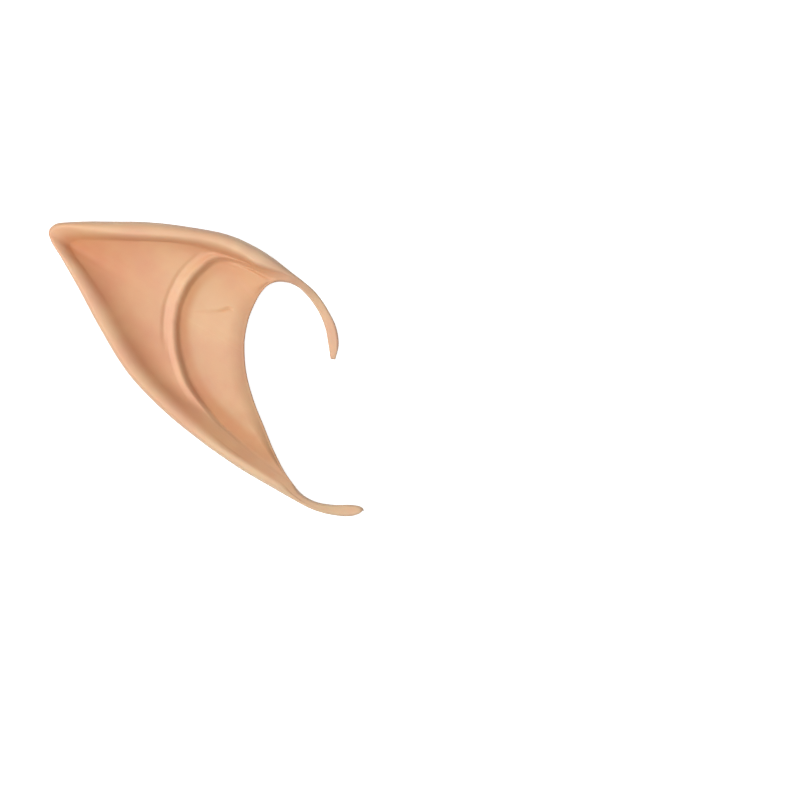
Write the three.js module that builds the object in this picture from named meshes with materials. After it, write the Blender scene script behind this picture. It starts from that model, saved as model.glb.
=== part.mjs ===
// A pointed ear tip of cast latex, lying on its back with its front up.
// It is one hollow shell: a front wall and a back wall joined by a rolled rim, with a pocket between them that
// opens at the notch, and a hook at each end of the rim. Millimetres, +X towards the hooks, +Y up the ear, +Z up.
import * as THREE from "three";
import { mergeVertices } from "three/addons/utils/BufferGeometryUtils.js";

// Driving sizes
const width = 90;
const height = 84.6;
const depth = 18;
const wall = 1.3;
const mouthSetback = 3;
const ridgeReach = 2.5;
const lipRound = 1.2;

// Fineness of the mesh
const rowStep = 2.7;
const leastRows = 2;
const rimSteps = 4;
const wellSteps = 6;
const ridgeSteps = 3;
const bowlSteps = 7;
const lipSteps = 2;
const pocketSteps = 7;
const levelSteps = 4;
const heelSteps = 6;

// The plan of the ear: one row for each section, from the upper hook's end over the point to the lower hook's end.
// A section runs straight from the outer edge to the notch. Its ends are shares of the width and the height.
const plan = readTable(["outerX", "outerY", "innerX", "innerY"], [
  [0.909, 0.534, 0.893, 0.537],
  [0.92, 0.583, 0.886, 0.59],
  [0.9135, 0.64, 0.8765, 0.642],
  [0.89, 0.696, 0.856, 0.695],
  [0.8505, 0.7595, 0.8265, 0.742],
  [0.808, 0.8, 0.793, 0.7775],
  [0.766, 0.8335, 0.758, 0.7935],
  [0.7185, 0.873, 0.725, 0.795],
  [0.6605, 0.913, 0.696, 0.7825],
  [0.582, 0.951, 0.6725, 0.7555],
  [0.48, 0.975, 0.6535, 0.72],
  [0.337, 0.995, 0.637, 0.679],
  [0.194, 1, 0.6265, 0.6335],
  [0.073, 0.998, 0.6215, 0.5965],
  [0.0207, 0.9905, 0.621, 0.5795],
  [0.0006, 0.967, 0.621, 0.566],
  [0.008, 0.935, 0.6215, 0.5525],
  [0.0415, 0.877, 0.623, 0.5255],
  [0.0985, 0.77, 0.627, 0.49],
  [0.174, 0.6205, 0.637, 0.444],
  [0.2575, 0.4815, 0.655, 0.383],
  [0.3655, 0.36, 0.6835, 0.307],
  [0.493, 0.2495, 0.717, 0.221],
  [0.6135, 0.16, 0.7505, 0.153],
  [0.7025, 0.104, 0.7745, 0.1155],
  [0.7665, 0.065, 0.8, 0.0805],
  [0.834, 0.0265, 0.844, 0.052],
  [0.8965, 0.0065, 0.898, 0.041],
  [0.9555, 0.0005, 0.957, 0.0405],
  [0.9875, 0.0105, 0.9875, 0.0355],
  [0.9995, 0.022, 0.9985, 0.028],
]);

// The folds: where the rim's crown, its inner crease and the ridge cross a section, as shares of its length,
// how far the back's round heel and the pocket reach, also as shares, and how far the ridge stands up, as a share
// of the depth. Column at is the number of the section.
const folds = readTable(["at", "crown", "crease", "ridge", "heel", "pocket", "rise"], [
  [0, 0.5, 0.7, 0.8, 0.5, 0, 0],
  [5, 0.5, 0.75, 0.84, 0.5, 0, 0],
  [6, 0.48, 0.76, 0.85, 0.5, 0, 0],
  [7, 0.42, 0.66, 0.78, 0.6, 0.3, 0],
  [8, 0.34, 0.52, 0.64, 0.55, 0.66, 0],
  [9, 0.26, 0.39, 0.47, 0.45, 0.82, 0.01],
  [10, 0.18, 0.285, 0.37, 0.4, 0.88, 0.055],
  [11, 0.13, 0.205, 0.475, 0.36, 0.91, 0.085],
  [12, 0.1, 0.16, 0.56, 0.36, 0.92, 0.095],
  [13, 0.075, 0.12, 0.615, 0.42, 0.92, 0.095],
  [14, 0.055, 0.095, 0.636, 0.47, 0.91, 0.09],
  [15, 0.045, 0.09, 0.641, 0.5, 0.9, 0.09],
  [16, 0.055, 0.14, 0.634, 0.47, 0.91, 0.09],
  [17, 0.062, 0.17, 0.605, 0.42, 0.92, 0.09],
  [18, 0.075, 0.195, 0.549, 0.36, 0.92, 0.09],
  [19, 0.09, 0.23, 0.497, 0.36, 0.91, 0.09],
  [20, 0.115, 0.295, 0.467, 0.38, 0.9, 0.08],
  [21, 0.15, 0.36, 0.48, 0.4, 0.87, 0.05],
  [22, 0.21, 0.43, 0.54, 0.42, 0.8, 0.015],
  [23, 0.3, 0.54, 0.65, 0.5, 0.68, 0],
  [24, 0.38, 0.66, 0.76, 0.5, 0.4, 0],
  [25, 0.46, 0.75, 0.84, 0.5, 0, 0],
  [30, 0.5, 0.7, 0.8, 0.5, 0, 0],
]);

// The heights, as shares of the depth: the rim's crown, the outer edge, the back, the groove inside the rim, the
// bank that rises to the ridge, the low of the bowl beyond it, the bowl's swell and the lip at the notch.
const heights = readTable(["at", "top", "side", "back", "groove", "bank", "low", "bowl", "lip"], [
  [0, 0.085, 0.045, 0.005, 0.085, 0.085, 0.085, 0.085, 0.085],
  [1, 0.13, 0.065, 0, 0.13, 0.13, 0.13, 0.13, 0.13],
  [3, 0.22, 0.15, 0.08, 0.215, 0.215, 0.215, 0.215, 0.215],
  [5, 0.53, 0.44, 0.34, 0.52, 0.52, 0.51, 0.51, 0.5],
  [6, 0.68, 0.55, 0.4, 0.62, 0.61, 0.61, 0.6, 0.58],
  [7, 0.8, 0.6, 0.33, 0.66, 0.65, 0.64, 0.64, 0.63],
  [8, 0.89, 0.6, 0.2, 0.68, 0.67, 0.65, 0.66, 0.63],
  [10, 0.97, 0.58, 0.05, 0.7, 0.71, 0.65, 0.69, 0.62],
  [12, 0.95, 0.57, 0, 0.69, 0.73, 0.63, 0.71, 0.61],
  [14, 0.74, 0.5, 0, 0.62, 0.73, 0.62, 0.71, 0.61],
  [15, 0.62, 0.43, 0, 0.55, 0.73, 0.62, 0.71, 0.61],
  [16, 0.68, 0.47, 0, 0.53, 0.73, 0.62, 0.71, 0.61],
  [18, 0.84, 0.52, 0, 0.55, 0.72, 0.61, 0.7, 0.6],
  [20, 0.85, 0.5, 0, 0.54, 0.65, 0.56, 0.66, 0.57],
  [22, 0.72, 0.42, 0, 0.54, 0.56, 0.54, 0.58, 0.51],
  [24, 0.5, 0.33, 0.08, 0.42, 0.42, 0.42, 0.43, 0.4],
  [26, 0.29, 0.2, 0.11, 0.28, 0.28, 0.28, 0.28, 0.28],
  [28, 0.14, 0.07, 0, 0.14, 0.14, 0.14, 0.14, 0.14],
  [29, 0.125, 0.06, 0, 0.125, 0.125, 0.125, 0.125, 0.125],
  [30, 0.085, 0.045, 0.005, 0.085, 0.085, 0.085, 0.085, 0.085],
]);

// Turns rows of numbers under named columns into one list of numbers for each name.
function readTable(names, rows) {
  return Object.fromEntries(names.map((name, column) => [name, rows.map((row) => row[column])]));
}

function mix(a, b, share) {
  return a + (b - a) * share;
}

// 0 below the first edge, 1 above the second, and a smooth S between them.
function ease(low, high, value) {
  return THREE.MathUtils.smoothstep(value, low, high);
}

// The rise of a quarter circle: 0 at share 0, 1 at share 1, upright at 0 and level at 1.
function quarter(share) {
  const left = 1 - Math.min(Math.max(share, 0), 1);
  return Math.sqrt(1 - left * left);
}

// A smooth curve through the values at the stations that never swings past them.
function smoothThrough(stations, values, at) {
  const last = stations.length - 1;
  const slopes = values.slice(1).map((v, i) => (v - values[i]) / (stations[i + 1] - stations[i]));
  const tangent = (i) => {
    if (i === 0 || i === last) return 0;
    const [before, after] = [slopes[i - 1], slopes[i]];
    return before * after > 0 ? (2 * before * after) / (before + after) : 0;
  };
  let i = 0;
  while (i < last - 1 && at > stations[i + 1]) i += 1;
  const span = stations[i + 1] - stations[i];
  const t = (at - stations[i]) / span;
  const bend = t * t * (3 - 2 * t);
  const leave = t * (1 - t) * (1 - t) * span * tangent(i);
  const arrive = t * t * (t - 1) * span * tangent(i + 1);
  return mix(values[i], values[i + 1], bend) + leave + arrive;
}

// The two long edges of the plan as smooth curves through the sections' ends.
function edgeCurve(shareX, shareY) {
  const points = shareX.map((x, i) => new THREE.Vector3(x * width, shareY[i] * height, 0));
  return new THREE.CatmullRomCurve3(points, false, "centripetal");
}

const outerEdge = edgeCurve(plan.outerX, plan.outerY);
const innerEdge = edgeCurve(plan.innerX, plan.innerY);
const lastSection = plan.outerX.length - 1;

// One section of the ear at a place between the numbered ones, with its folds as shares and its heights in
// millimetres. The folds lie between the outer edge and the start of the lip's round edge.
function sectionAt(at) {
  const outer = outerEdge.getPoint(at / lastSection);
  const inner = innerEdge.getPoint(at / lastSection);
  const section = { at, outer, inner, length: outer.distanceTo(inner) };
  for (const name of ["crown", "crease", "ridge", "heel", "pocket", "rise"]) {
    section[name] = smoothThrough(folds.at, folds[name], at);
  }
  for (const name of ["top", "side", "back", "groove", "bank", "low", "bowl", "lip"]) {
    section[name] = depth * smoothThrough(heights.at, heights[name], at);
  }
  section.rise *= depth;
  section.open = ease(0, 0.3, section.pocket);
  section.setback = mouthSetback * ease(0, 0.6, section.pocket);
  section.edgeRound = mix(lipRound, wall / 2, section.open) / section.length;
  section.frontEdge = 1 - section.edgeRound;
  for (const name of ["crown", "crease", "ridge"]) section[name] *= section.frontEdge;
  return section;
}

// The front's height without the ridge: rim, groove and bank on one side of the ridge, the bowl on the other.
function baseHeight(section, share) {
  const { crown, crease, ridge, top, side, groove, bank, low, bowl, lip } = section;
  const bowlShare = (share - ridge) / (1 - ridge);
  const inBowl = smoothThrough([-1, 0, 0.45, 1], [low, low, bowl, lip], bowlShare);
  if (share <= crown) return mix(side, top, quarter(share / crown));
  const rimToGroove = ease(crown, crease, share);
  const bankShare = (share - crease) / (ridge - crease);
  const inScapha = mix(groove, bank, mix(bankShare, ease(0, 1, bankShare), 0.5));
  const near = ridgeReach / section.length;
  const beyondRidge = ease(ridge - near / 2, ridge + near, share);
  if (share <= crease) return mix(top, groove, rimToGroove);
  return mix(inScapha, inBowl, beyondRidge * ease(crease, ridge, share));
}

// The ridge's own height above the base, by the distance from its crest.
function ridgeHeight(section, share, point) {
  const away = distanceTo(ridgeLine, point);
  return section.rise * (1 - ease(0, ridgeReach, away)) * ease(section.crown, section.crease, share);
}

function frontHeight(section, share, point) {
  return baseHeight(section, share) + ridgeHeight(section, share, point);
}

// The underside: a round heel from the outer edge, then level.
function backHeight(section, share) {
  return mix(section.side, section.back, quarter(share / section.heel));
}

function planPoint(section, share) {
  return section.outer.clone().lerp(section.inner, share);
}

// The shortest distance in plan from a point to a line of points.
function distanceTo(line, point) {
  const closest = new THREE.Vector3();
  const piece = new THREE.Line3();
  let least = Infinity;
  for (let i = 1; i < line.length; i += 1) {
    piece.set(line[i - 1], line[i]).closestPointToPoint(point, true, closest);
    least = Math.min(least, closest.distanceTo(point));
  }
  return least;
}

// Shares that run evenly from one value to the next, the first left out.
function stepsTo(from, to, count) {
  return Array.from({ length: count }, (_, i) => mix(from, to, (i + 1) / count));
}

// The closed outline of a section, as points from the outer edge over the front to the lip, into the pocket and out
// again, round the back wall's edge, and along the back to where it began.
function sectionOutline(section) {
  const { crown, crease, ridge, heel, pocket, open, setback, length, edgeRound, frontEdge } = section;
  const ridgeFoot = Math.min(ridgeReach / length, (ridge - crease) / 2, (frontEdge - ridge) / 2);
  const backLip = 1 - setback / length;
  const backEdge = backLip - edgeRound;
  const pocketEnd = 1 - pocket;
  const frontAt = (share) => frontHeight(section, share, planPoint(section, share));
  const backAt = (share) => backHeight(section, share);
  const halfThick = mix((frontAt(frontEdge) - backAt(backEdge)) / 2, wall / 2, open);
  const innerHalf = (wall / 2) * open;
  const wallThick = halfThick + innerHalf;
  const middleAt = (share) => (baseHeight(section, share) + backAt(share)) / 2;
  const slitMiddle = backAt(backEdge) + halfThick;
  const inPocket = (share, wallFace, turn) => mix(slitMiddle, mix(middleAt(share), wallFace, roundEnd(turn)), open);

  const outline = [];
  const add = (share, z) => outline.push(planPoint(section, share).setZ(z));
  const quarterTurns = stepsTo(0, Math.PI / 2, lipSteps);
  const pocketTurns = [0, ...stepsTo(0, Math.PI / 2, pocketSteps)].map(Math.sin);

  add(0, section.side);
  const frontShares = [
    ...stepsTo(0, Math.PI / 2, rimSteps).map((turn) => crown * (1 - Math.cos(turn))),
    ...stepsTo(crown, crease, rimSteps),
    ...stepsTo(crease, ridge - ridgeFoot, wellSteps),
    ...stepsTo(ridge - ridgeFoot, ridge, ridgeSteps),
    ...stepsTo(ridge, ridge + ridgeFoot, ridgeSteps),
    ...stepsTo(ridge + ridgeFoot, frontEdge, bowlSteps),
  ];
  for (const share of frontShares) add(share, frontAt(share));
  for (const turn of quarterTurns) {
    add(frontEdge + edgeRound * Math.sin(turn), frontAt(frontEdge) - halfThick * (1 - Math.cos(turn)));
  }
  for (const t of pocketTurns) {
    const share = mix(1 - innerHalf / length, pocketEnd, t);
    add(share, inPocket(share, baseHeight(section, share) - wallThick, t));
  }
  for (const t of pocketTurns.slice(0, -1).reverse()) {
    const share = mix(backLip - innerHalf / length, pocketEnd, t);
    add(share, inPocket(share, backAt(share) + wallThick, t));
  }
  add(backLip, slitMiddle);
  for (const turn of quarterTurns) {
    add(backEdge + edgeRound * Math.cos(turn), backAt(backEdge) + halfThick * (1 - Math.sin(turn)));
  }
  for (const share of stepsTo(backEdge, heel, levelSteps)) add(share, backAt(share));
  for (const turn of stepsTo(Math.PI / 2, 0, heelSteps).slice(0, -1)) {
    const share = heel * (1 - Math.cos(turn));
    add(share, backAt(share));
  }
  return outline;
}

// The round blind end of the pocket: full height for most of its reach, then closing.
function roundEnd(share) {
  return Math.pow(1 - Math.pow(share, 4), 1 / 4);
}

// Places along the plan, so that the rows lie about one row step apart on the outer edge.
function rowPlaces() {
  const places = [0];
  for (let i = 0; i < lastSection; i += 1) {
    const span = outerEdge.getPoint(i / lastSection).distanceTo(outerEdge.getPoint((i + 1) / lastSection));
    places.push(...stepsTo(i, i + 1, Math.max(leastRows, Math.round(span / rowStep))));
  }
  return places;
}

// A closed surface through rings of points, with a fan over each end.
function loft(rings) {
  const size = rings[0].length;
  const corners = rings.flat();
  const triangles = [];
  for (let row = 0; row < rings.length - 1; row += 1) {
    for (let i = 0; i < size; i += 1) {
      const next = (i + 1) % size;
      const [a, b] = [row * size + i, row * size + next];
      triangles.push([a, a + size, b], [b, a + size, b + size]);
    }
  }
  for (const [ring, first, turn] of [[rings[0], 0, true], [rings.at(-1), (rings.length - 1) * size, false]]) {
    const middle = ring.reduce((sum, p) => sum.add(p), new THREE.Vector3()).divideScalar(size);
    corners.push(middle);
    const hub = corners.length - 1;
    for (let i = 0; i < size; i += 1) {
      const [a, b] = [first + i, first + ((i + 1) % size)];
      triangles.push(turn ? [hub, a, b] : [hub, b, a]);
    }
  }
  return weld(corners, triangles);
}

// Merges corners that fall together and drops the triangles that lose their area there.
function weld(corners, triangles) {
  const flat = corners.flatMap((p) => p.toArray());
  const geometry = new THREE.BufferGeometry();
  geometry.setAttribute("position", new THREE.Float32BufferAttribute(flat, 3));
  geometry.setIndex(triangles.flat());
  const merged = mergeVertices(geometry, 2e-3);
  const index = merged.index.array;
  const kept = [];
  for (let i = 0; i < index.length; i += 3) {
    const [a, b, c] = index.slice(i, i + 3);
    if (a !== b && b !== c && c !== a) kept.push(a, b, c);
  }
  merged.setIndex(kept);
  return merged;
}

// Moves the geometry so that its footprint is centred on the origin and it rests on the plane z = 0.
function standOnOrigin(geometry) {
  geometry.computeBoundingBox();
  const { min, max } = geometry.boundingBox;
  geometry.translate(-(min.x + max.x) / 2, -(min.y + max.y) / 2, -min.z);
  return geometry;
}

const sections = rowPlaces().map(sectionAt);
const ridgeLine = sections.map((section) => planPoint(section, section.ridge));

function earShell() {
  const geometry = standOnOrigin(loft(sections.map(sectionOutline)));
  geometry.computeVertexNormals();
  const latex = new THREE.MeshStandardMaterial({ color: 0xe2b088, roughness: 0.5, metalness: 0 });
  const shell = new THREE.Mesh(geometry, latex);
  shell.name = "ear_shell";
  return shell;
}

const ear = new THREE.Group();
ear.add(earShell());

export default ear;
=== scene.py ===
"""A pointed ear tip in cast latex, lying on its back on a pale floor, seen face on in soft light.

The fine shell is lofted, in metres, through sections in the same places as those of the solid that it
replaces, with finer relief of its own. A node tree gives its skin the slight unevenness of hand casting.
"""
import math

import bpy
import numpy as np
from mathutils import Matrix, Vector


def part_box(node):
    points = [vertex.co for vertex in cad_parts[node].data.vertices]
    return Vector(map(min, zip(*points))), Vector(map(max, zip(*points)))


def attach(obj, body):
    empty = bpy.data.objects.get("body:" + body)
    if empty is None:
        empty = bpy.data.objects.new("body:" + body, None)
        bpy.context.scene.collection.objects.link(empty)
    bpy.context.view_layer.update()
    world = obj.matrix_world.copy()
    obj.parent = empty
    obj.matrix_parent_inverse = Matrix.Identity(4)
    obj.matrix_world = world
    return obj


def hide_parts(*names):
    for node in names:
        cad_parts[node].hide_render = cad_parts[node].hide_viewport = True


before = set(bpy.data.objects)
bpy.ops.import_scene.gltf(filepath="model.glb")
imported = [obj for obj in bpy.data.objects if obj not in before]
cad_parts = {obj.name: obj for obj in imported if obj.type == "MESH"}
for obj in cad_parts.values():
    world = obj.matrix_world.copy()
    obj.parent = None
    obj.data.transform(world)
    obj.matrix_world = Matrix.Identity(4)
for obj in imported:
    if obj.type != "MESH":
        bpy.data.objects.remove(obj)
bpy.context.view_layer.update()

MM = 0.001

# The ear's place in the photograph, in its pixels
PHOTO_SIDE = 800
EAR_LEFT, EAR_RIGHT = 49, 363.5
EAR_TOP, EAR_BOTTOM = 221.7, 517.3

# Thickness of the latex, how far the back wall's edge stays behind the front one's, and the rounding of a
# solid hook's inner edge
WALL = 1.3 * MM
MOUTH_SETBACK = 3 * MM
LIP_ROUND = 0.8 * MM

# Shares of a section that the pocket takes up where its mouth is fully open, and where it is fully set back
OPEN_AT = 0.5
SET_BACK_AT = 0.6

# How square the pocket's blind end is
END_SQUARENESS = 4

# How far the ridge's flanks reach from its crest, towards the notch and towards the rim
RIDGE_REACH = 2.4 * MM
RIDGE_OUTER_REACH = 1.8 * MM

# Depth of the faint dip along the ridge, how far outside the crest it lies, how far it reaches to each side,
# and how many of these reaches have finer steps
RIDGE_DIP = 0.35 * MM
DIP_AWAY = 2.65 * MM
DIP_REACH = 0.75 * MM
DIP_SPAN = 3

# Depth of the short crease across the bowl, how far it reaches to each side, and how dark the painted
# shade in it is
WRINKLE_DEPTH = 0.34 * MM
WRINKLE_REACH = 0.4 * MM
WRINKLE_SHADE = 0.6

# Height and length of the waves that hand casting leaves in the skin, the slow ones and the quick ones
SLOW_WAVE, SLOW_LENGTH = 0.14 * MM, 13 * MM
QUICK_WAVE, QUICK_LENGTH = 0.025 * MM, 3.2 * MM
CASTING_SEED = 7

# Share of the bowl's width where its lip starts to roll down
ROLL_START = 0.73

# The painted shade: where between the rim's crown and its crease it sets in, the share of the well's
# width where its darker painted shade has faded, and the power that it fades by
SHADE_START = 0.2
SHADE_END = 0.95
SHADE_HOLD = 0.65

# How square the rim's outer side is
RIM_SQUARENESS = 2.6

# How much painted shade darkens the ridge's inner foot, and the distances from the crest over which it sets
# in and ends, in reaches of the ridge
FOOT_SHADE = 0.8
FOOT_START = (0.2, 0.6)
FOOT_END = (1.3, 2.4)

# The latex: sizes of its blotches and its pores, the pores' depth and how strongly they show
BLOTCH_SIZE = 16 * MM
PORE_SIZE = 0.6 * MM
PORE_DEPTH = 0.1 * MM
PORE_STRENGTH = 0.12

# Its ruddier and its paler pigment, with the levels of the blotches where each is full, and the tint of
# the painted shade in its folds
RUDDY_LATEX, RUDDY_LEVEL = "DEB293", 0.35
PALE_LATEX, PALE_LEVEL = "E3C39D", 0.66
PAINTED_SHADE_TINT = "E5BCA0"

# Strength of the room's light from below and from above, and the height on its sphere by which it has changed
ROOM_BELOW, ROOM_ABOVE, ROOM_CHANGE = 0.12, 0.42, 0.2

# Fineness of the mesh: the spacing of its rows, the fewest between two sections, the widest gap that is
# welded, and the steps over each part of a section's outline
ROW_STEP = 0.66 * MM
LEAST_ROWS = 4
WELD_GAP = 0.0004 * MM
RIM_STEPS, DROP_STEPS, WELL_STEPS, DIP_STEPS, RIDGE_STEPS, BOWL_STEPS = 14, 16, 20, 12, 12, 42
LIP_STEPS, POCKET_STEPS, LEVEL_STEPS, HEEL_STEPS = 9, 12, 10, 16


def read_table(names, rows):
    """The columns of a table, by name."""
    return dict(zip(names, np.array(rows, float).T))


# The plan, a row for each section: its outer and inner end as shares of the width and the height
PLAN = read_table(["outer_x", "outer_y", "inner_x", "inner_y"], [
    [0.909, 0.534, 0.893, 0.537],
    [0.92, 0.583, 0.886, 0.59],
    [0.9135, 0.64, 0.8765, 0.642],
    [0.89, 0.696, 0.856, 0.695],
    [0.8505, 0.7595, 0.8265, 0.742],
    [0.808, 0.8, 0.793, 0.7775],
    [0.766, 0.8335, 0.758, 0.7935],
    [0.7185, 0.873, 0.725, 0.795],
    [0.6605, 0.913, 0.696, 0.7825],
    [0.582, 0.951, 0.6725, 0.7555],
    [0.48, 0.975, 0.6535, 0.72],
    [0.337, 0.995, 0.637, 0.679],
    [0.194, 1, 0.6265, 0.6335],
    [0.073, 0.998, 0.6215, 0.5965],
    [0.0207, 0.9905, 0.621, 0.5795],
    [0.0006, 0.967, 0.621, 0.566],
    [0.008, 0.935, 0.6215, 0.5525],
    [0.0415, 0.877, 0.623, 0.5255],
    [0.0985, 0.77, 0.627, 0.49],
    [0.174, 0.6205, 0.637, 0.444],
    [0.2575, 0.4815, 0.655, 0.383],
    [0.3655, 0.36, 0.6835, 0.307],
    [0.493, 0.2495, 0.717, 0.221],
    [0.6135, 0.16, 0.7505, 0.153],
    [0.7025, 0.104, 0.7745, 0.1155],
    [0.7665, 0.065, 0.8, 0.0805],
    [0.834, 0.0265, 0.844, 0.052],
    [0.8965, 0.0065, 0.898, 0.041],
    [0.9555, 0.0005, 0.957, 0.0405],
    [0.9875, 0.0105, 0.9875, 0.0355],
    [0.9995, 0.022, 0.9985, 0.028],
])

# The folds at the numbered sections: the rim's crown, its inner crease and the ridge's crest as shares of the
# way from the outer edge to the lip, the heel's and the pocket's shares of the section, the heel's from the
# outer edge and the pocket's from the notch, how early the well's slope eases, the share of the bowl's width
# where its floor has settled, and the ridge's rise as a share of the depth
FOLDS = read_table(["at", "crown", "crease", "ridge", "heel", "pocket", "slide", "settle", "rise"], [
    [0, 0.35, 0.55, 0.75, 0.5, 0, 1, 2.5, 0],
    [5, 0.35, 0.58, 0.78, 0.5, 0, 1, 2.5, 0],
    [6, 0.38, 0.63, 0.82, 0.5, 0, 1, 2.5, 0],
    [7, 0.4, 0.65, 0.8, 0.6, 0.3, 1, 2.5, 0],
    [8, 0.42, 0.6, 0.67, 0.55, 0.66, 1, 2.5, 0],
    [9, 0.26, 0.44, 0.485, 0.45, 0.82, 1.4, 1.4, 0.002],
    [10, 0.15, 0.29, 0.37, 0.4, 0.88, 2.5, 0.8, 0.034],
    [11, 0.14, 0.218, 0.48, 0.36, 0.91, 3, 0.48, 0.036],
    [12, 0.112, 0.186, 0.566, 0.36, 0.92, 3, 0.42, 0.03],
    [13, 0.06, 0.154, 0.627, 0.42, 0.92, 3, 0.38, 0.025],
    [14, 0.034, 0.132, 0.648, 0.47, 0.91, 3, 0.36, 0.024],
    [15, 0.02, 0.114, 0.652, 0.5, 0.9, 3, 0.36, 0.024],
    [16, 0.026, 0.125, 0.643, 0.47, 0.91, 3, 0.36, 0.025],
    [17, 0.034, 0.15, 0.615, 0.42, 0.92, 3, 0.38, 0.027],
    [18, 0.045, 0.182, 0.568, 0.36, 0.92, 3, 0.4, 0.03],
    [19, 0.055, 0.2, 0.511, 0.36, 0.91, 3, 0.45, 0.034],
    [20, 0.068, 0.242, 0.476, 0.38, 0.9, 2.6, 0.6, 0.022],
    [21, 0.1, 0.315, 0.485, 0.4, 0.87, 1, 1.4, 0],
    [22, 0.14, 0.355, 0.6, 0.42, 0.8, 1, 2.5, 0],
    [23, 0.23, 0.54, 0.76, 0.5, 0.68, 1, 2.5, 0],
    [24, 0.34, 0.68, 0.86, 0.5, 0.4, 1, 2.5, 0],
    [25, 0.34, 0.6, 0.8, 0.5, 0, 1, 2.5, 0],
    [30, 0.35, 0.55, 0.75, 0.5, 0, 1, 2.5, 0],
])

# The heights at the numbered sections, as shares of the depth: the rim's crown, the outer edge, the back,
# the foot of the rim's bead, the well at the ridge, the bowl's start beyond it, its floor, and the lip at the
# notch
HEIGHTS = read_table(["at", "top", "side", "back", "groove", "bank", "low", "bowl", "lip"], [
    [0, 0.07, 0.045, 0.02, 0.07, 0.07, 0.07, 0.07, 0.065],
    [0.25, 0.105, 0.055, 0.005, 0.105, 0.105, 0.105, 0.105, 0.1],
    [1, 0.155, 0.08, 0.01, 0.155, 0.155, 0.155, 0.155, 0.145],
    [3, 0.28, 0.2, 0.12, 0.28, 0.28, 0.28, 0.275, 0.265],
    [5, 0.59, 0.49, 0.38, 0.585, 0.58, 0.58, 0.575, 0.555],
    [6, 0.735, 0.61, 0.42, 0.71, 0.695, 0.695, 0.675, 0.64],
    [7, 0.855, 0.67, 0.33, 0.78, 0.74, 0.735, 0.685, 0.65],
    [8, 0.93, 0.71, 0.2, 0.795, 0.74, 0.735, 0.635, 0.61],
    [9, 0.965, 0.72, 0.1, 0.79, 0.735, 0.71, 0.6, 0.565],
    [10, 0.97, 0.7, 0.05, 0.785, 0.695, 0.645, 0.56, 0.52],
    [12, 0.95, 0.66, 0, 0.78, 0.67, 0.64, 0.545, 0.475],
    [14, 0.82, 0.57, 0, 0.72, 0.62, 0.604, 0.525, 0.455],
    [15, 0.77, 0.52, 0, 0.672, 0.61, 0.598, 0.52, 0.45],
    [16, 0.79, 0.545, 0, 0.698, 0.605, 0.591, 0.51, 0.44],
    [18, 0.86, 0.6, 0, 0.745, 0.605, 0.58, 0.495, 0.425],
    [20, 0.87, 0.61, 0, 0.75, 0.64, 0.58, 0.515, 0.44],
    [21, 0.84, 0.585, 0, 0.755, 0.65, 0.61, 0.515, 0.445],
    [22, 0.785, 0.54, 0, 0.715, 0.62, 0.615, 0.45, 0.447],
    [23, 0.685, 0.475, 0.03, 0.64, 0.59, 0.585, 0.5, 0.475],
    [24, 0.575, 0.415, 0.09, 0.54, 0.52, 0.515, 0.47, 0.44],
    [26, 0.34, 0.245, 0.12, 0.333, 0.33, 0.33, 0.325, 0.315],
    [28, 0.16, 0.08, 0.005, 0.16, 0.16, 0.16, 0.16, 0.155],
    [29, 0.13, 0.065, 0, 0.13, 0.13, 0.13, 0.13, 0.125],
    [29.75, 0.1, 0.055, 0.01, 0.1, 0.1, 0.1, 0.1, 0.095],
    [30, 0.07, 0.045, 0.02, 0.07, 0.07, 0.07, 0.07, 0.065],
])

# How much painted shade lies at the numbered sections on the rim's crown, everywhere inside it and in the
# well, how much of the dip outside the ridge shows there, and how much painted shade lies along the ridge's
# foot. Less of it on the crown and on the hooks paints them lighter
DETAILS = read_table(["at", "crest", "inside", "well", "dip", "foot"], [
    [0, 0.15, 0.15, 0, 0, 0],
    [5, 0.15, 0.15, 0, 0, 0],
    [6, 0.1, 0.2, 0.1, 0, 0],
    [7, 0, 0.45, 0.2, 0, 0],
    [8, 0, 0.66, 0.2, 0, 0],
    [9, 0.16, 0.7, 0.2, 0, 0],
    [10, 0.3, 0.67, 0.2, 0, 0.3],
    [11, 0.3, 0.59, 0.3, 0.7, 0.6],
    [12, 0.34, 0.49, 0.55, 1, 1],
    [13, 0.5, 0.49, 0.8, 1, 1],
    [15, 0.55, 0.49, 1, 1, 1],
    [17, 0.3, 0.49, 0.65, 1, 1],
    [18, 0.3, 0.49, 0.6, 0.7, 0.9],
    [19, 0.38, 0.52, 0.65, 0, 0.7],
    [21, 0.32, 0.6, 0.45, 0, 1],
    [22, 0.15, 0.68, 0.15, 0, 0.5],
    [23, 0.08, 0.5, 0.2, 0, 0],
    [24, 0.05, 0.45, 0, 0, 0],
    [26, 0.05, 0.15, 0, 0, 0],
    [30, 0.05, 0.15, 0, 0, 0],
])

# The short crease across the bowl, as shares of the width and the height, with its strength
WRINKLE = read_table(["x", "y", "strength"], [
    [0.45, 0.697, 0],
    [0.49, 0.696, 0.3],
    [0.531, 0.6965, 0.5],
    [0.554, 0.7, 1.2],
    [0.571, 0.706, 1.1],
    [0.587, 0.703, 0],
])

# Overall sizes of the ear, from its solid, whose highest point is the rim's highest top
solid_low, solid_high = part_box("ear_shell")
WIDTH, HEIGHT = (solid_high[0] - solid_low[0]), (solid_high[1] - solid_low[1])
DEPTH = (solid_high[2] - solid_low[2]) / HEIGHTS["top"].max()


# Camera and light

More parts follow.
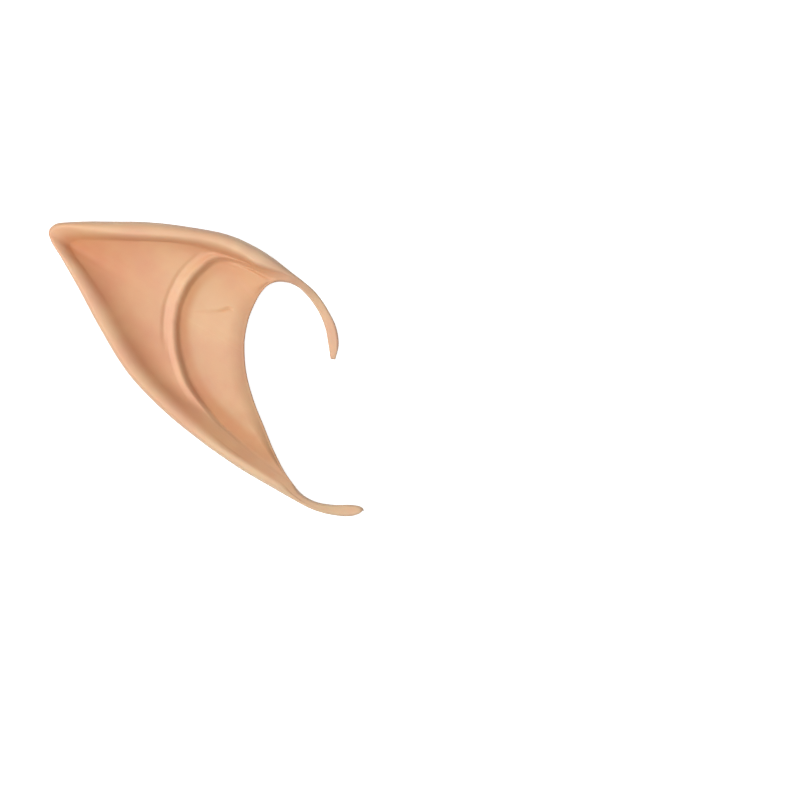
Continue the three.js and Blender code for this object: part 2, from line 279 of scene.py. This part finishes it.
def place_camera():
    """Straight above the middle of the photograph's frame, so that the ear lies where it does there."""
    scale = WIDTH / (EAR_RIGHT - EAR_LEFT)
    field = PHOTO_SIDE * scale
    away = 1.1
    data = bpy.data.cameras.new("camera")
    data.sensor_width = 36
    data.lens = data.sensor_width * away / field
    camera = bpy.data.objects.new("camera", data)
    middle = PHOTO_SIDE / 2
    camera.location = (
        (middle - (EAR_LEFT + EAR_RIGHT) / 2) * scale,
        ((EAR_TOP + EAR_BOTTOM) / 2 - middle) * scale,
        away + DEPTH / 2,
    )
    bpy.context.scene.collection.objects.link(camera)
    bpy.context.scene.camera = camera


def place_softbox(name, place, side, power):
    """A square softbox of the given side that faces the middle of the floor."""
    data = bpy.data.lights.new(name, "AREA")
    data.shape = "SQUARE"
    data.size = side
    data.energy = power
    light = bpy.data.objects.new(name, data)
    light.location = place
    light.rotation_euler = (-Vector(place)).to_track_quat("-Z", "Y").to_euler()
    bpy.context.scene.collection.objects.link(light)


def light_studio():
    """A large soft key from the left, a weak fill from above and an even white room that is dim below."""
    place_softbox("key", place=(-0.6, 0.02, 0.75), side=0.5, power=7.1)
    place_softbox("overhead", place=(0.15, -0.1, 1.3), side=0.9, power=3.8)
    world = bpy.data.worlds.new("studio")
    world.use_nodes = True
    room = world.node_tree
    way = add_node(room, "ShaderNodeTexCoord")
    parts = add_node(room, "ShaderNodeSeparateXYZ", [("Vector", way, "Generated")])
    strength = add_node(
        room, "ShaderNodeMapRange", [("Value", parts, "Z")],
        {"From Min": -ROOM_CHANGE, "From Max": ROOM_CHANGE, "To Min": ROOM_BELOW, "To Max": ROOM_ABOVE},
    )
    room.nodes["Background"].inputs["Color"].default_value = (1, 1, 1, 1)
    room.links.new(strength.outputs["Result"], room.nodes["Background"].inputs["Strength"])
    bpy.context.scene.world = world
    bpy.context.scene.view_settings.view_transform = "Standard"


# Numbers along the ear

def mix(a, b, share):
    """The value at a share of the way from a to b."""
    return a + (b - a) * share


def ease(low, high, value):
    """0 below the low edge, 1 above the high one, and a smooth S between them."""
    t = np.clip((value - low) / (high - low), 0, 1)
    return t * t * (3 - 2 * t)


def quarter(share, squareness=2):
    """The rise of a quarter circle, or of a squarer curve: upright at share 0, level at share 1."""
    return (1 - (1 - np.clip(share, 0, 1)) ** squareness) ** (1 / squareness)


def smooth_through(stations, values, at):
    """A smooth curve through the values at the stations that never swings past them."""
    last = len(stations) - 1
    spans = [stations[i + 1] - stations[i] for i in range(last)]
    slopes = [(values[i + 1] - values[i]) / spans[i] for i in range(last)]
    tangents = [0 * slopes[0]]
    for before, after in zip(slopes, slopes[1:]):
        both = before * after
        safe = np.where(both > 0, before + after, 1)
        tangents.append(np.where(both > 0, 2 * both / safe, 0))
    tangents.append(0 * slopes[0])
    result = np.zeros(np.broadcast(at, slopes[0]).shape)
    for i in range(last):
        t = (at - stations[i]) / spans[i]
        bend = mix(values[i], values[i + 1], t * t * (3 - 2 * t))
        leave = t * (1 - t) ** 2 * spans[i] * tangents[i]
        arrive = t * t * (t - 1) * spans[i] * tangents[i + 1]
        here = (at >= stations[i]) if i else np.ones_like(t, bool)
        result = np.where(here, bend + leave + arrive, result)
    return result


def edge_curve(share_x, share_y, at):
    """Points on the smooth centripetal curve through the sections' ends, at the given places."""
    points = np.stack([share_x * WIDTH, share_y * HEIGHT], axis=1) / MM
    ends = [2 * points[:1] - points[1:2], points, 2 * points[-1:] - points[-2:-1]]
    points = np.concatenate(ends)
    i = np.minimum(at.astype(int), len(share_x) - 2)
    t = (at - i)[:, None]
    p0, p1, p2, p3 = (points[i + k] for k in range(4))
    gaps = [np.linalg.norm(b - a, axis=1, keepdims=True) ** 0.5 for a, b in ((p0, p1), (p1, p2), (p2, p3))]
    leave = ((p1 - p0) / gaps[0] - (p2 - p0) / (gaps[0] + gaps[1]) + (p2 - p1) / gaps[1]) * gaps[1]
    arrive = ((p2 - p1) / gaps[1] - (p3 - p1) / (gaps[1] + gaps[2]) + (p3 - p2) / gaps[2]) * gaps[1]
    bend = mix(p1, p2, t * t * (3 - 2 * t))
    return (bend + t * (1 - t) ** 2 * leave + t * t * (t - 1) * arrive) * MM


def row_places():
    """Places of the fine rows, evenly spread along each stretch of the outer edge."""
    numbers = np.arange(len(PLAN["outer_x"]), dtype=float)
    corners = edge_curve(PLAN["outer_x"], PLAN["outer_y"], numbers)
    spans = np.linalg.norm(np.diff(corners, axis=0), axis=1)
    places = [np.zeros(1)]
    for i, span in enumerate(spans):
        count = max(LEAST_ROWS, round(span / ROW_STEP))
        places.append(i + np.arange(1, count + 1) / count)
    return np.concatenate(places)


def sections_at(at):
    """The sections at the given places, each value a column with one row for each section."""
    column = {}
    column["outer"] = edge_curve(PLAN["outer_x"], PLAN["outer_y"], at)
    column["inner"] = edge_curve(PLAN["inner_x"], PLAN["inner_y"], at)
    column["length"] = np.linalg.norm(column["outer"] - column["inner"], axis=1)[:, None]
    for table, unit in ((FOLDS, 1), (HEIGHTS, DEPTH), (DETAILS, 1)):
        for name, values in table.items():
            column[name] = unit * smooth_through(table["at"], values, at)[:, None]
    column["rise"] = column["rise"] * DEPTH
    column["open"] = ease(0, OPEN_AT, column["pocket"])
    column["setback"] = MOUTH_SETBACK * ease(0, SET_BACK_AT, column["pocket"])
    column["edge_round"] = mix(LIP_ROUND, WALL / 2, column["open"]) / column["length"]
    column["front_edge"] = 1 - column["edge_round"]
    for name in ("crown", "crease", "ridge"):
        column[name] = column[name] * column["front_edge"]
    return column


# The ear's surfaces

def plan_points(ear, share):
    """Points in plan at shares of the sections, as an array of rows by shares by two."""
    outer, inner = ear["outer"][:, None, :], ear["inner"][:, None, :]
    return mix(outer, inner, share[..., None])


def base_height(ear, share):
    """The front without its ridge: the rim and the well outside it, the bowl and its rolled lip inside it."""
    crown, crease, ridge = ear["crown"], ear["crease"], ear["ridge"]
    rim = mix(ear["side"], ear["top"], quarter(share / crown, RIM_SQUARENESS))
    dropped = np.clip((share - crown) / (crease - crown), 0, 1)
    bead = mix(ear["top"], ear["groove"], 1 - np.cos(dropped * math.pi / 2))
    left = np.minimum((ridge - share) / (ridge - crease), 1)
    settling = 1 - np.sign(left) * np.abs(left) ** ear["slide"]
    well = bead - (ear["groove"] - ear["bank"]) * settling
    bowl_share = np.clip((share - ridge) / (1 - ridge), 0, 1)
    settled = 1 - (1 - np.clip(bowl_share / ear["settle"], 0, 1)) ** 2
    rolled = np.clip((bowl_share - ROLL_START) / (1 - ROLL_START), 0, 1) ** 2
    bowl = mix(mix(ear["low"], ear["bowl"], settled), ear["lip"], rolled)
    beyond = ease(ridge, ridge + RIDGE_REACH / ear["length"], share)
    return np.where(share <= crown, rim, mix(well, bowl, beyond))


def distance_to(line, points):
    """The shortest distance in plan from each point to a line of points."""
    start, step = line[:-1], np.diff(line, axis=0)
    above_zero = 1e-18
    length_squared = np.maximum((step ** 2).sum(axis=1), above_zero)
    flat = points.reshape(-1, 2)
    least = np.empty(len(flat))
    batch = 20000
    for first in range(0, len(flat), batch):
        part = flat[first:first + batch]
        t = np.clip(((part[:, None] - start) * step).sum(axis=2) / length_squared, 0, 1)
        gap = part[:, None] - start - t[..., None] * step
        least[first:first + batch] = np.sqrt((gap ** 2).sum(axis=2).min(axis=1))
    return least.reshape(points.shape[:-1])


def ridge_height(ear, share):
    """The ridge's height above the base by the distance from its crest, less the faint dip outside it."""
    away = distance_to(ear["ridge_line"], plan_points(ear, share))
    reach = np.where(share < ear["ridge"], RIDGE_OUTER_REACH, RIDGE_REACH)
    bead = ear["rise"] * (1 - ease(0, 1, away / reach)) * ease(ear["crown"], ear["crease"], share)
    dip = RIDGE_DIP * ear["dip"] * np.exp(-((away - DIP_AWAY) / DIP_REACH) ** 2)
    return bead - np.where(share < ear["ridge"], dip, 0)


def front_height(ear, share):
    """The whole front, with its ridge and the short crease across the bowl."""
    return base_height(ear, share) + ridge_height(ear, share) - WRINKLE_DEPTH * wrinkle_share(ear, share)


def wrinkle_share(ear, share):
    """The short crease across the bowl: 1 at its deepest and 0 away from it."""
    points = plan_points(ear, share)
    line = np.stack([WRINKLE["x"] * WIDTH, WRINKLE["y"] * HEIGHT], axis=1)
    strength = np.interp(points[..., 0], line[:, 0], WRINKLE["strength"])
    return strength * np.exp(-(distance_to(line, points) / WRINKLE_REACH) ** 2)


def painted_fold_shade(ear, share):
    """The painted shade: darkest along the rim's crease, fading over the well to the ridge."""
    crown, crease, ridge = ear["crown"], ear["crease"], ear["ridge"]
    faded = crease + (ridge - crease) * SHADE_END
    fall = (1 - np.clip((share - crease) / (faded - crease), 0, 1)) ** SHADE_HOLD
    inside = mix(ear["inside"], 1, ear["well"] * fall)
    return mix(ear["crest"], inside, ease(mix(crown, crease, SHADE_START), crease, share))


def front_painted_shade(ear, share):
    """The front's painted shade, also darker along the ridge's inner foot and in the wrinkle."""
    away = distance_to(ear["ridge_line"], plan_points(ear, share)) / RIDGE_REACH
    beside = ease(*FOOT_START, away) * (1 - ease(*FOOT_END, away))
    foot = FOOT_SHADE * ear["foot"] * np.where(share > ear["ridge"], beside, 0)
    return mix(mix(painted_fold_shade(ear, share), 1, foot), 1, WRINKLE_SHADE * wrinkle_share(ear, share))


def back_height(ear, share):
    """The underside: a round heel from the outer edge, then level."""
    return mix(ear["side"], ear["back"], quarter(share / ear["heel"]))


def round_end(share):
    """The blind end of the pocket: full height for most of its reach, then closing."""
    return (1 - share ** END_SQUARENESS) ** (1 / END_SQUARENESS)


def steps_to(start, end, count):
    """Even steps from start to end, the start left out, as columns."""
    return start + (end - start) * np.arange(1, count + 1) / count


def section_outlines(ear):
    """The closed outline of every section, with its painted shade.

    It runs over the front to the lip, into the pocket and out of it, and along the back.
    """
    one = np.ones_like(ear["length"])
    crown, crease, ridge, front_edge = ear["crown"], ear["crease"], ear["ridge"], ear["front_edge"]
    foot = np.minimum(RIDGE_REACH / ear["length"], np.minimum((ridge - crease) / 2, (front_edge - ridge) / 2))
    dip = np.minimum(DIP_SPAN * DIP_REACH / ear["length"], (ridge - foot - crease) / 2)
    round_share = ear["edge_round"]
    back_lip = 1 - ear["setback"] / ear["length"]
    back_edge = back_lip - round_share
    opened = ear["open"]
    front_lip = front_height(ear, front_edge * one)
    back_level = back_height(ear, back_edge)
    half = mix((front_lip - back_level) / 2, WALL / 2, opened)
    inner_half = WALL / 2 * opened
    slit = back_level + half

    front = np.concatenate([
        0 * one,
        crown * (1 - np.cos(steps_to(0, math.pi / 2, RIM_STEPS))),
        steps_to(crown, crease, DROP_STEPS),
        steps_to(crease, ridge - foot - dip, WELL_STEPS),
        steps_to(ridge - foot - dip, ridge - foot, DIP_STEPS),
        steps_to(ridge - foot, ridge, RIDGE_STEPS),
        steps_to(ridge, ridge + foot, RIDGE_STEPS),
        steps_to(ridge + foot, front_edge, BOWL_STEPS),
    ], axis=1)
    turns = steps_to(0, math.pi / 2, LIP_STEPS)
    lip = front_edge + round_share * np.sin(turns)
    lip_height = front_lip - half * (1 - np.cos(turns))

    blind = np.sin(np.linspace(0, math.pi / 2, POCKET_STEPS + 1)) * one
    pocket_end = 1 - ear["pocket"]

    def in_pocket(mouth, turn, wall_face):
        share = mix(mouth - inner_half / ear["length"], pocket_end, turn)
        middle = (base_height(ear, share) + back_height(ear, share)) / 2
        return share, mix(slit, mix(middle, wall_face(share), round_end(turn)), opened)

    ceiling = in_pocket(1, blind, lambda share: base_height(ear, share) - half - inner_half)
    floor = in_pocket(back_lip, blind[:, -2::-1], lambda share: back_height(ear, share) + half + inner_half)

    back_round = np.concatenate([back_lip, back_edge + round_share * np.cos(turns)], axis=1)
    back_round_height = np.concatenate([slit, back_level + half * (1 - np.sin(turns))], axis=1)
    level = steps_to(back_edge, ear["heel"], LEVEL_STEPS)
    heel = ear["heel"] * (1 - np.cos(steps_to(math.pi / 2, 0, HEEL_STEPS)[:-1]))
    others = np.concatenate([lip, ceiling[0], floor[0], back_round, level, heel], axis=1)
    shares = np.concatenate([front, others], axis=1)
    heights = np.concatenate([
        front_height(ear, front), lip_height, ceiling[1], floor[1], back_round_height,
        back_height(ear, level), back_height(ear, heel),
    ], axis=1)
    # Painted shade for each corner: on the front with the ridge's foot and the wrinkle, elsewhere by share
    # alone
    painted_shades = np.concatenate([front_painted_shade(ear, front), painted_fold_shade(ear, others)], axis=1)
    rings = np.concatenate([plan_points(ear, shares), heights[..., None]], axis=2)
    return rings, painted_shades


def loft(rings):
    """Corners and faces of the closed surface through the rings, with a fan over each end."""
    rows, size = rings.shape[:2]
    corners = rings.reshape(-1, 3)
    row, place = np.meshgrid(np.arange(rows - 1) * size, np.arange(size), indexing="ij")
    along, after = row + place, row + (place + 1) % size
    faces = np.stack([along, along + size, after + size, after], axis=2).reshape(-1, 4).tolist()
    for first, turned in ((0, False), ((rows - 1) * size, True)):
        hub = len(corners)
        corners = np.concatenate([corners, corners[first:first + size].mean(axis=0, keepdims=True)])
        for place in range(size):
            a, b = first + place, first + (place + 1) % size
            faces.append([hub, b, a] if turned else [hub, a, b])
    return corners, faces


def make_mesh(name, corners, faces, values=()):
    """A mesh object of the corners and faces, with named values at its corners, welded where corners meet."""
    mesh = bpy.data.meshes.new(name)
    mesh.from_pydata(corners.tolist(), [], faces)
    for title, numbers in dict(values).items():
        mesh.attributes.new(title, "FLOAT", "POINT").data.foreach_set("value", numbers)
    piece = bpy.data.objects.new(name, mesh)
    bpy.context.scene.collection.objects.link(piece)
    weld = piece.modifiers.new("weld", "WELD")
    weld.merge_threshold = WELD_GAP
    apply_modifiers(piece)
    piece.data.validate()
    return piece


def apply_modifiers(piece):
    """Puts the evaluated mesh in the piece's place and removes its modifiers."""
    graph = bpy.context.evaluated_depsgraph_get()
    done = bpy.data.meshes.new_from_object(piece.evaluated_get(graph))
    piece.modifiers.clear()
    piece.data = done
    done.name = piece.name


# Materials

def linear(hex_colour):
    """A colour such as E3B48C as linear red, green, blue and alpha."""
    parts = [int(hex_colour[i:i + 2], 16) / 255 for i in (0, 2, 4)]
    return tuple(p / 12.92 if p <= 0.04045 else ((p + 0.055) / 1.055) ** 2.4 for p in parts) + (1,)


def set_inputs(node, values):
    """Gives a node's inputs their values, by name or by number."""
    for name, value in values.items():
        node.inputs[name].default_value = value


def add_node(tree, kind, links=(), inputs=(), **settings):
    """A node with its settings and input values, and links as (its input, a node, that node's output)."""
    node = tree.nodes.new(kind)
    for name, value in settings.items():
        setattr(node, name, value)
    set_inputs(node, dict(inputs))
    for name, source, output in links:
        tree.links.new(source.outputs[output], node.inputs[name])
    return node


# Sockets of a colour Mix node, whose names are shared by its other kinds
MIX_A, MIX_B, MIX_RESULT = 6, 7, 2


def make_latex():
    """Natural latex, slush cast: satin, a little translucent, with uneven pigment and fine pores."""
    material = bpy.data.materials.new("pigmented_cast_latex")
    material.use_nodes = True
    tree = material.node_tree
    skin = tree.nodes["Principled BSDF"]
    place = add_node(tree, "ShaderNodeTexCoord")
    blotch = add_node(
        tree, "ShaderNodeTexNoise", [("Vector", place, "Object")],
        {"Scale": 1 / BLOTCH_SIZE, "Detail": 3, "Roughness": 0.55},
    )
    tone = add_node(tree, "ShaderNodeValToRGB", [("Fac", blotch, "Fac")])
    stops = ((RUDDY_LATEX, RUDDY_LEVEL), (PALE_LATEX, PALE_LEVEL))
    for element, (pigment, level) in zip(tone.color_ramp.elements, stops):
        element.position = level
        element.color = linear(pigment)
    # Painted shade: the fold attribute darkens the latex towards its tint in creases, wells and the wrinkle
    shade = add_node(tree, "ShaderNodeAttribute", attribute_name="painted_fold_shade")
    painted_darkening = add_node(
        tree, "ShaderNodeMix", [("Factor", shade, "Fac"), (MIX_A, tone, "Color")], data_type="RGBA",
        blend_type="MULTIPLY", inputs={MIX_B: linear(PAINTED_SHADE_TINT)},
    )
    tree.links.new(painted_darkening.outputs[MIX_RESULT], skin.inputs["Base Color"])
    pores = add_node(
        tree, "ShaderNodeTexNoise", [("Vector", place, "Object")],
        {"Scale": 1 / PORE_SIZE, "Detail": 2, "Roughness": 0.6},
    )
    bump = add_node(
        tree, "ShaderNodeBump", [("Height", pores, "Fac")],
        {"Strength": PORE_STRENGTH, "Distance": PORE_DEPTH},
    )
    tree.links.new(bump.outputs["Normal"], skin.inputs["Normal"])
    set_inputs(skin, {
        "Roughness": 0.52, "IOR": 1.5,
        "Subsurface Weight": 0.2, "Subsurface Radius": (1.0, 0.45, 0.25), "Subsurface Scale": 1.5 * MM,
    })
    return material


def hand_casting_tree():
    """The node tree that gives a skin the slight waves of hand casting and its latex."""
    tree = bpy.data.node_groups.new("hand_casting", "GeometryNodeTree")
    tree.is_modifier = True
    face = tree.interface
    face.new_socket("Skin", in_out="INPUT", socket_type="NodeSocketGeometry")
    for name in ("Slow Wave", "Slow Length", "Quick Wave", "Quick Length"):
        face.new_socket(name, in_out="INPUT", socket_type="NodeSocketFloat")
    face.new_socket("Seed", in_out="INPUT", socket_type="NodeSocketInt")
    face.new_socket("Latex", in_out="INPUT", socket_type="NodeSocketMaterial")
    face.new_socket("Skin", in_out="OUTPUT", socket_type="NodeSocketGeometry")
    given = add_node(tree, "NodeGroupInput")
    place = add_node(tree, "GeometryNodeInputPosition")
    normal = add_node(tree, "GeometryNodeInputNormal")

    def wave(height, length):
        """Waves of the given height and length, half above the skin and half below it."""
        scale = add_node(tree, "ShaderNodeMath", [(1, given, length)], {0: 1}, operation="DIVIDE")
        noise = add_node(
            tree, "ShaderNodeTexNoise",
            [("Vector", place, "Position"), ("W", given, "Seed"), ("Scale", scale, 0)],
            {"Detail": 1}, noise_dimensions="4D",
        )
        centred = add_node(tree, "ShaderNodeMath", [(0, noise, 0)], {1: 0.5}, operation="SUBTRACT")
        return add_node(tree, "ShaderNodeMath", [(0, centred, 0), (1, given, height)], operation="MULTIPLY")

    slow = wave("Slow Wave", "Slow Length")
    quick = wave("Quick Wave", "Quick Length")
    both = add_node(tree, "ShaderNodeMath", [(0, slow, 0), (1, quick, 0)], operation="ADD")
    push = add_node(
        tree, "ShaderNodeVectorMath", [(0, normal, "Normal"), ("Scale", both, 0)], operation="SCALE",
    )
    moved = add_node(tree, "GeometryNodeSetPosition", [("Geometry", given, "Skin"), ("Offset", push, 0)])
    real = add_node(tree, "GeometryNodeRealizeInstances", [("Geometry", moved, "Geometry")])
    painted = add_node(
        tree, "GeometryNodeSetMaterial", [("Geometry", real, "Geometry"), ("Material", given, "Latex")],
    )
    add_node(tree, "NodeGroupOutput", [("Skin", painted, "Geometry")])
    return tree


def cast_by_hand(piece, latex):
    """Gives the piece the waves of hand casting, as a plain mesh."""
    tree = hand_casting_tree()
    modifier = piece.modifiers.new("hand_casting", "NODES")
    modifier.node_group = tree
    values = {
        "Slow Wave": 2 * SLOW_WAVE, "Slow Length": SLOW_LENGTH, "Quick Wave": 2 * QUICK_WAVE,
        "Quick Length": QUICK_LENGTH, "Seed": CASTING_SEED, "Latex": latex,
    }
    for socket in tree.interface.items_tree:
        if socket.in_out == "INPUT" and socket.name in values:
            modifier[socket.identifier] = values[socket.name]
    apply_modifiers(piece)


def make_floor():
    """A wide, plain, nearly white floor."""
    reach = 3
    corners = reach * np.array([(-1, -1, 0), (1, -1, 0), (1, 1, 0), (-1, 1, 0)], float)
    floor = make_mesh("floor", corners, [[0, 1, 2, 3]])
    material = bpy.data.materials.new("matt_white_board")
    material.use_nodes = True
    set_inputs(material.node_tree.nodes["Principled BSDF"], {
        "Base Color": (0.9, 0.9, 0.9, 1), "Roughness": 0.9,
        "Emission Color": (1, 1, 1, 1), "Emission Strength": 0.7,
    })
    floor.data.materials.append(material)
    floor.visible_diffuse = False


def make_ear():
    """The whole latex ear tip as one fine shell."""
    ear = sections_at(row_places())
    ear["ridge_line"] = plan_points(ear, ear["ridge"])[:, 0]
    rings, painted_shades = section_outlines(ear)
    corners, faces = loft(rings)
    middle = (corners.min(axis=0) + corners.max(axis=0)) / 2
    corners = corners - [middle[0], middle[1], corners[:, 2].min()]
    # The two hubs of the end fans get no painted shade
    hub_painted_shades = [0, 0]
    painted_shades = np.concatenate([painted_shades.reshape(-1), hub_painted_shades])
    shell = make_mesh("latex_ear", corners, faces, {"painted_fold_shade": painted_shades})
    shell.data.shade_smooth()
    cast_by_hand(shell, make_latex())
    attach(shell, "root")
    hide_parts("ear_shell")


place_camera()
light_studio()
make_floor()
make_ear()
